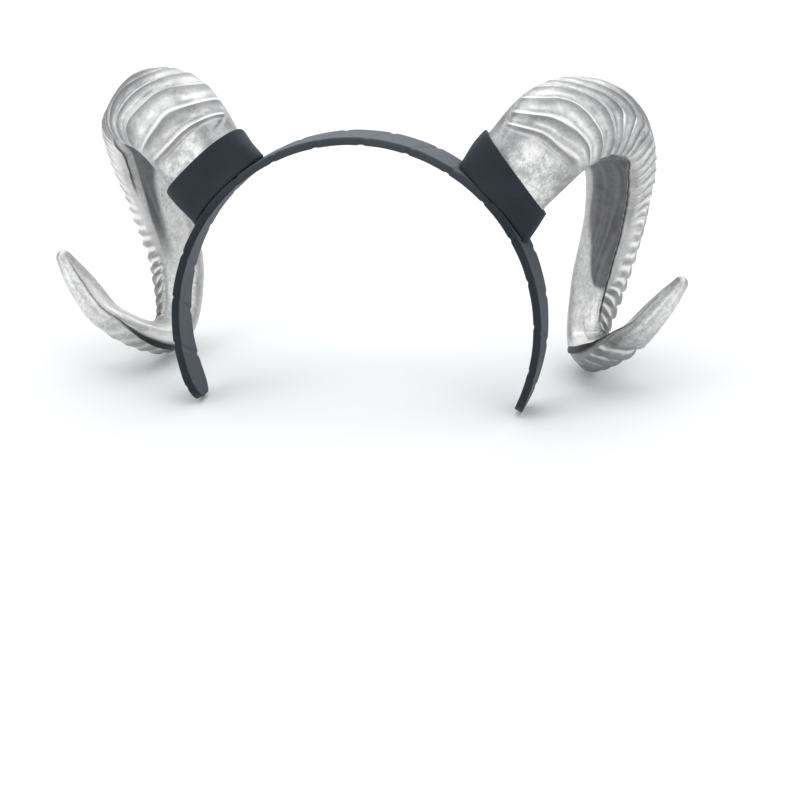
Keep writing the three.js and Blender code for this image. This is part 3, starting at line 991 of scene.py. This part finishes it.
def rib_tree(material):
    """Ribs across the outer faces, a crease along the lip, a split along the tip and a seam on the keel."""
    tree, geometry, size = geometry_tree("horn_ribs", RIB_SIZES)
    along = point_value(tree, "along")
    count = point_value(tree, "count")
    nick, dent = horn_wear(tree, size["Seed"])
    rib = (count + GROOVE_MARGIN).math("FLOOR")
    across = count - rib
    random = {"noise_dimensions": "1D"}
    own = field(tree, "ShaderNodeTexWhiteNoise", "Value", settings=random, W=rib + size["Seed"])
    lower = along.ramp(*LOWER_LIMB)
    upper = lower.less_from(1.0)
    profile = shaped(across, SHINGLE_PROFILE) * upper + shaped(across, ROPE_PROFILE) * lower
    fine_line = across.bell(**FINE_LINE) * (own + dent).ramp(*FINE_LINE_SPREAD) * upper
    mask = rib_mask(tree, size, nick)
    tip_share = along.ramp(*TIP_RIB_PLACES) * (size["Tip Ribs"] - 1.0) + 1.0
    height = (profile - fine_line * 0.08) * mask * rib_rise(tree, own) * tip_share * size["Rib Height"]

    crease = point_value(tree, "crease").ramp(*CREASE_EDGE) * along.ramp(*CREASE_START)
    crease = crease * (along - size["Crease End"]).ramp(*CREASE_FADE)
    split = point_value(tree, "split").ramp(*SPLIT_WALL) * along.between(*SPLIT_PLACES)
    deep = along.ramp(*SPLIT_DEEPENS) * 0.8 + 0.2
    seam = point_value(tree, "past_seam").bell(**SEAM_RIDGE) * along.ramp(*SEAM_RIDGE_END)
    seam = seam * (nick.math("ABSOLUTE") * 1.5 + 0.25)
    worn = height + seam + dent * DENT_DEPTH + nick * NICK_DEPTH
    worn = worn - crease * size["Crease Depth"] - split * deep * size["Split Depth"]

    painted = mask * (tip_share * 0.8 + 0.2)
    # Painted highlights: a line along each rib's raised edge, a broad one on its back, and the rope's crests.
    crest_highlight = across.bell(**BRIGHT_EDGE) * upper + across.bell(**ROPE_CREST) * lower * ROPE_HIGHLIGHT_TONE
    crest_highlight = crest_highlight + across.bell(**BRIGHT_BACK) * (dent * 2.0 + 0.15)
    # Painted shade: darker towards each groove, in the rope's troughs, on the fine lines and in the crease.
    valley_shade = across.ramp(*SHINGLE_VALLEY) * upper
    valley_shade = valley_shade + across.bell(**ROPE_VALLEY).less_from(1.0) * lower * ROPE_TROUGH_SHADE
    geometry = raise_skin(geometry, worn)
    geometry = keep_value(geometry, "crest_highlight", crest_highlight * painted)
    geometry = keep_value(geometry, "groove_shade", (valley_shade + fine_line * 0.2) * painted + crease)
    # Painted shade in the split, deeper towards the root, and in the crease.
    geometry = keep_value(geometry, "split_shade", split * (deep * 0.4 + 0.6) + crease)
    close_tree(geometry, material)
    return tree


def horn(side, tree):
    """One horn: its skin lofted through the sections, then ribbed."""
    looks = HORN_LOOKS[side]
    angle = np.radians(np.linspace(-90, 270, HORN_COLUMNS, endpoint=False))
    distance = horn_rows(angle, side)
    shrink = np.ones_like(distance)
    quarter = np.linspace(0, math.pi / 2, HORN_TIP_ROWS + 1)[1:-1, None] + np.zeros_like(angle)
    distance = np.vstack((distance, HORN_LENGTH - TIP_ROUNDING * (1 - np.sin(quarter))))
    shrink = np.vstack((shrink, np.cos(quarter)))
    around = angle[None, :] + np.zeros_like(distance)
    skin = horn_points(distance, around, side, 0.0, shrink[..., None])
    rows, columns = distance.shape
    poles = np.stack((skin[0].mean(0), line_points[-1]))
    points = set_down(set_horn(np.vstack((skin.reshape(-1, 3), poles)), side))
    flip = SIDES[side]["mirror"] > 0
    faces = [
        grid_faces(rows, columns, not flip),
        cap_faces(0, columns, rows * columns, flip),
        cap_faces((rows - 1) * columns, columns, rows * columns + 1, not flip),
    ]
    far = (FAR_FROM_LINE, FAR_FROM_LINE)
    at_poles = {"along": (0, HORN_LENGTH), "around": (KEEL, KEEL), "crease": far, "split": far}
    on_skin = skin_values(distance, np.degrees(around), side)
    attributes = {label: np.append(values, at_poles.get(label, (0, 0))) for label, values in on_skin.items()}
    piece = new_piece("silver_horn_" + side, points, faces, attributes)
    own_sizes = {
        "Last Rib": len(rib_places(side)) - 1,
        "Tip Ribs": looks["tip_ribs"],
        "Limb Strip": looks["limb_strip"],
        "Crease End": looks["crease_end"],
        "Seed": looks["seed"],
    }
    run_tree(piece, tree, own_sizes)
    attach(piece, "root")
    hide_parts("horn_" + side)


# Cuffs.

CUFF_START = 5.0  # a first guess at how far along the horn a cuff's edge lies
CUFF_ROUNDS = 14  # in which the edge is then found
CUFF_ROLL = 0.045  # how far the rolled rim stands up, as a part of the cuff's height
CUFF_ROLL_ROWS = 5
HEM_DROP = (-0.4, 2.6)  # past the hoop's edge, over which the hem drops
PUCKERS = 7
PUCKER_DEPTH = 0.25


def cuff_column(angle, side, grow, target):
    """How far along the horn a column of the cuff has to run to reach a target height."""
    distance = np.full_like(angle, CUFF_START)
    for _ in range(CUFF_ROUNDS):
        points = horn_points(distance, angle, side, grow)
        distance = distance + target(points)
    return distance


def rim_target(side):
    rim = CUFF_RIMS[side]

    def short_by(points):
        height = rim["height"] - rim["slant"] * (points @ DOWNHILL) - rim["lean"] * points[..., 1]
        return height - (points @ UPRIGHT - HOOP_RADIUS)

    return short_by


def foot_target(side):
    def short_by(points):
        points = set_horn(points, side)
        past_edge = smoothstep(*HEM_DROP, np.abs(points[..., 1]) - HOOP_WIDTH / 2)
        foot = HOOP_RADIUS + GAP - (CUFF_LAP + GAP) * past_edge
        return foot - hoop_distance(points)

    return short_by


def cuff_section():
    """The band's outer face, rolled rim and inner face, as parts of its height and millimetres out."""
    half = CUFF_WALL / 2
    swing = np.linspace(0, math.pi, CUFF_ROLL_ROWS + 2)[1:-1]
    outside = [(share, CUFF_WALL) for share in np.linspace(0, 1, CUFF_ROWS)]
    rolled = [(1 + CUFF_ROLL * math.sin(a), half + half * math.cos(a)) for a in swing]
    inside = [(share, 0.0) for share in np.linspace(1, 0, CUFF_ROWS // 2)]
    return outside + rolled + inside


def cuff_skin(angle, side):
    middle_grow = GAP + CUFF_WALL / 2
    rim = cuff_column(angle, side, middle_grow, rim_target(side))
    foot = cuff_column(angle, side, middle_grow, foot_target(side))
    skin = []
    for share, out in cuff_section():
        distance = foot + (rim - foot) * share
        pucker = PUCKER_DEPTH * np.sin(angle * PUCKERS + 2.0 * math.sin(5 * share)) * (1 - share) ** 2
        skin.append(horn_points(distance, angle, side, (GAP + out + pucker)[:, None]))
    return np.stack(skin)


def cuff(side, material):
    """One cloth band round a horn's root, with a hem on the hoop."""
    flip = SIDES[side]["mirror"] > 0
    angle = np.radians(np.linspace(-90, 270, CUFF_COLUMNS, endpoint=False))
    skin = cuff_skin(angle, side)
    rows = len(skin)
    points = set_down(set_horn(skin.reshape(-1, 3), side))
    closing = np.stack((np.arange(CUFF_COLUMNS), (np.arange(CUFF_COLUMNS) + 1) % CUFF_COLUMNS), -1)
    hem = np.hstack((closing[:, ::-1], closing + (rows - 1) * CUFF_COLUMNS))
    faces = [grid_faces(rows, CUFF_COLUMNS, not flip), hem if flip else hem[:, ::-1]]
    girth = np.linspace(0, CUFF_FLAT[side][0] / MM, CUFF_COLUMNS, endpoint=False)
    rise = np.cumsum(np.concatenate(([0], np.linalg.norm(np.diff(skin[:, 0], axis=0), axis=-1))))
    full = (rows, CUFF_COLUMNS)
    weave = {"lengthways": np.broadcast_to(girth, full), "crossways": np.broadcast_to(rise[:, None], full)}
    piece = new_piece("cloth_cuff_" + side, points, faces, weave)
    piece.data.materials.append(material)
    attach(piece, "root")
    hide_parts("cuff_" + side)


# Tape-wound hoop.

TAPE_SIZES = {
    "Pitch": 19.5,  # along the hoop, from one turn to the next
    "Thickness": 0.6,
    "Overlap": 0.13,  # part of a turn that lies on the turn before
    "Unevenness": 0.12,
}
TAPE_WAVER = dict(scale=30.0, detail=2.0)
TAPE_WRINKLES = dict(scale=110.0, detail=3.0)
TAPE_START = 20.0  # turns counted before the middle, so that none is below 0
LAP_STEP = (0.0, 0.02)
LAP_END = (0.03, -0.05)
SLACK = dict(middle=0.5, width=0.5)
TAPE_BED = 0.2  # how much deeper the strip lies, to make room for the tape
EDGE_START = (9.5, 11.3)  # from the strip's middle line
END_LIMIT = 0.985  # the round ends stop short of where they have no width
TAPE_END = (0.01, 0.03)  # angles by which the tape's turns fade out before the end and the rounding
CORNER_POINTS = 4


def tape_tree(material):
    """Turns of tape that climb along the hoop, each lapping the one before."""
    tree, geometry, size = geometry_tree("tape_turns", TAPE_SIZES)
    place = field(tree, "GeometryNodeInputPosition")
    waver = noise(tree, place, **TAPE_WAVER) - 0.5
    wrinkle = noise(tree, place, **TAPE_WRINKLES) - 0.5
    wound = point_value(tree, "lengthways") / size["Pitch"] - point_value(tree, "turn")
    part = (wound + waver * size["Unevenness"] + TAPE_START).math("FRACT")
    lap = part.ramp(*LAP_STEP) * (part - size["Overlap"]).ramp(*LAP_END)
    slack = part.bell(**SLACK) * 0.12 + wrinkle * 0.25
    lap_height = lap * (point_value(tree, "edge") * 0.6 + 0.4)
    height = (lap_height + slack) * size["Thickness"] * point_value(tree, "fade")
    close_tree(raise_skin(geometry, height), material)
    return tree


def strip_outline():
    """Points round the strip's section, across and out, from the middle of its inner face."""
    half_wide = HOOP_WIDTH / 2
    half_thick = HOOP_THICKNESS / 2
    corners = ((1, 1, 0), (-1, 1, 1), (-1, -1, 2), (1, -1, 3))
    turning = []
    for side, out, start in corners:
        for step in range(CORNER_POINTS):
            swing = (step / (CORNER_POINTS - 1) + start) * math.pi / 2
            across = side * (half_wide - HOOP_EDGE) + HOOP_EDGE * math.cos(swing)
            turning.append((across, out * (half_thick - HOOP_EDGE) + HOOP_EDGE * math.sin(swing)))
    start = np.array((0.0, -half_thick))
    path = np.vstack((start, np.roll(np.array(turning), CORNER_POINTS, 0), start))
    outline = []
    for a, b in zip(path[:-1], path[1:]):
        steps = max(1, round(np.linalg.norm(b - a) / HOOP_COLUMN_STEP))
        outline += [a + (b - a) * k / steps for k in range(steps)]
    return np.array(outline)


def hoop_skin(outline, angle):
    """The strip bent to an arch and narrowed to round ends."""
    past = np.clip((np.abs(angle) - HOOP_STRAIGHT) / (HOOP_REACH - HOOP_STRAIGHT), 0, END_LIMIT)
    narrow = np.sqrt(1 - past**2)
    across = np.sign(outline[:, 0]) * np.maximum(np.abs(outline[:, 0]) - HOOP_EDGE, 0)
    edge = outline[:, 0] - across
    y = across[None, :] * narrow[:, None] + edge[None, :]
    radius = HOOP_RADIUS - HOOP_THICKNESS / 2 + outline[None, :, 1] - TAPE_BED
    x = radius * np.sin(angle)[:, None]
    z = radius * np.cos(angle)[:, None]
    return np.stack((x, y, z), -1)


def hoop_values(outline, angle):
    """What the tape has to know about each point of the hoop's skin, and about the poles at its ends."""
    girth = np.concatenate(([0], np.cumsum(np.linalg.norm(np.diff(outline, axis=0), axis=1))))
    whole = girth[-1] + np.linalg.norm(outline[0] - outline[-1])
    before_end = smoothstep(HOOP_REACH - TAPE_END[0], HOOP_STRAIGHT - TAPE_END[1], np.abs(angle))
    lengthways = -angle * HOOP_RADIUS
    on_skin = {
        "lengthways": lengthways[:, None],
        "crossways": girth,
        "turn": girth / whole,
        "edge": smoothstep(*EDGE_START, np.abs(outline[:, 0])),
        "fade": before_end[:, None],
    }
    at_poles = {"lengthways": lengthways[[0, -1]]}
    full = (len(angle), len(outline))
    return {
        label: np.append(np.broadcast_to(values, full), at_poles.get(label, (0, 0)))
        for label, values in on_skin.items()
    }


def hoop(material):
    """The hoop, wound with tape."""
    rows = int(2 * HOOP_REACH * HOOP_RADIUS / HOOP_ROW_STEP)
    angle = np.linspace(HOOP_REACH, -HOOP_REACH, rows + 2)[1:-1]
    outline = strip_outline()
    columns = len(outline)
    skin = hoop_skin(outline, angle)
    poles = np.stack((skin[0].mean(0), skin[-1].mean(0)))
    points = set_down(np.vstack((skin.reshape(-1, 3), poles)))
    faces = [
        grid_faces(rows, columns, False),
        cap_faces(0, columns, rows * columns, True),
        cap_faces((rows - 1) * columns, columns, rows * columns + 1, False),
    ]
    piece = new_piece("tape_wound_hoop", points, faces, hoop_values(outline, angle))
    run_tree(piece, tape_tree(material), TAPE_SIZES)
    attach(piece, "root")
    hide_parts("headband")


# Stage.

CAMERA_AZIMUTH = math.radians(10.5)  # as worn
CAMERA_ELEVATION = math.radians(13.0)
CAMERA_DISTANCE = 1400.0
CAMERA_ASIDE = -16.6  # where the middle of the hoop lies in the picture, in millimetres from its centre
CAMERA_ABOVE = 33.2
CAMERA_SENSOR = 36.0
CAMERA_FAR = 50  # metres
PICTURE_SIDE = 800
PICTURE_SCALE = 0.41  # millimetres in a pixel at the hoop

# Lamps: place and width in metres, power in watts.
LAMPS = {
    "left": dict(place=(-1.6, -1.3, 1.1), size=1.6, power=12),
    "right": dict(place=(1.4, -1.6, 1.1), size=1.6, power=10),
    "overhead": dict(place=(0.0, 0.4, 2.0), size=3.2, power=45),
    "backdrop": dict(place=(0.0, 2.6, 1.0), size=2.4, power=14),
}
LAMP_AIM = (0, 0, 0.07)
STUDIO_COLOUR = (0.9, 0.95, 1.0, 1.0)
STUDIO_STRENGTH = 0.65
FLOOR_HALF = 6.0


def camera():
    level = math.cos(CAMERA_ELEVATION)
    right = np.array((math.cos(CAMERA_AZIMUTH), math.sin(CAMERA_AZIMUTH), 0))
    back = np.array((right[1] * level, -right[0] * level, math.sin(CAMERA_ELEVATION)))
    up = np.cross(back, right)
    place = set_down(CAMERA_DISTANCE * back - CAMERA_ASIDE * right - CAMERA_ABOVE * up)
    data = bpy.data.cameras.new("camera")
    data.sensor_width = CAMERA_SENSOR
    data.lens = CAMERA_DISTANCE / PICTURE_SCALE * CAMERA_SENSOR / PICTURE_SIDE
    data.clip_end = CAMERA_FAR
    shot = bpy.data.objects.new("camera", data)
    axes = np.stack([lean_back(axis) for axis in (right, up, back)], -1)
    turned = Matrix(axes.tolist()).to_4x4()
    shot.matrix_world = Matrix.Translation(Vector(place)) @ turned
    bpy.context.scene.collection.objects.link(shot)
    bpy.context.scene.camera = shot


def lamp(name, place, size, power):
    data = bpy.data.lights.new(name, "AREA")
    data.size = size
    data.energy = power
    light = bpy.data.objects.new(name, data)
    light.location = place
    light.rotation_euler = (Vector(LAMP_AIM) - Vector(place)).to_track_quat("-Z", "Y").to_euler()
    bpy.context.scene.collection.objects.link(light)


def stage():
    half = FLOOR_HALF
    corners = np.array([(-half, -half, 0), (half, -half, 0), (half, half, 0), (-half, half, 0)])
    floor = new_piece("floor", corners, [np.array([[0, 1, 2, 3]])])
    floor.data.materials.append(pale_floor())
    world = bpy.data.worlds.new("studio")
    world.use_nodes = True
    background = next(node for node in world.node_tree.nodes if node.type == "BACKGROUND")
    background.inputs["Color"].default_value = STUDIO_COLOUR
    background.inputs["Strength"].default_value = STUDIO_STRENGTH
    bpy.context.scene.world = world
    for name, settings in LAMPS.items():
        lamp(name, **settings)
    bpy.context.scene.view_settings.view_transform = "Standard"


ribs = rib_tree(silver_paint())
cuff_cloth = black_cloth("black_cloth", CUFF_COLOURS, thread=0.55, roughness=0.88, gloss=0.25)
tape_cloth = black_cloth("black_tape", TAPE_COLOURS, thread=0.8, roughness=0.6, gloss=0.22, crown_light=TAPE_CROWN_LIGHT)
for side in SIDES:
    horn(side, ribs)
    cuff(side, cuff_cloth)
hoop(tape_cloth)
camera()
stage()
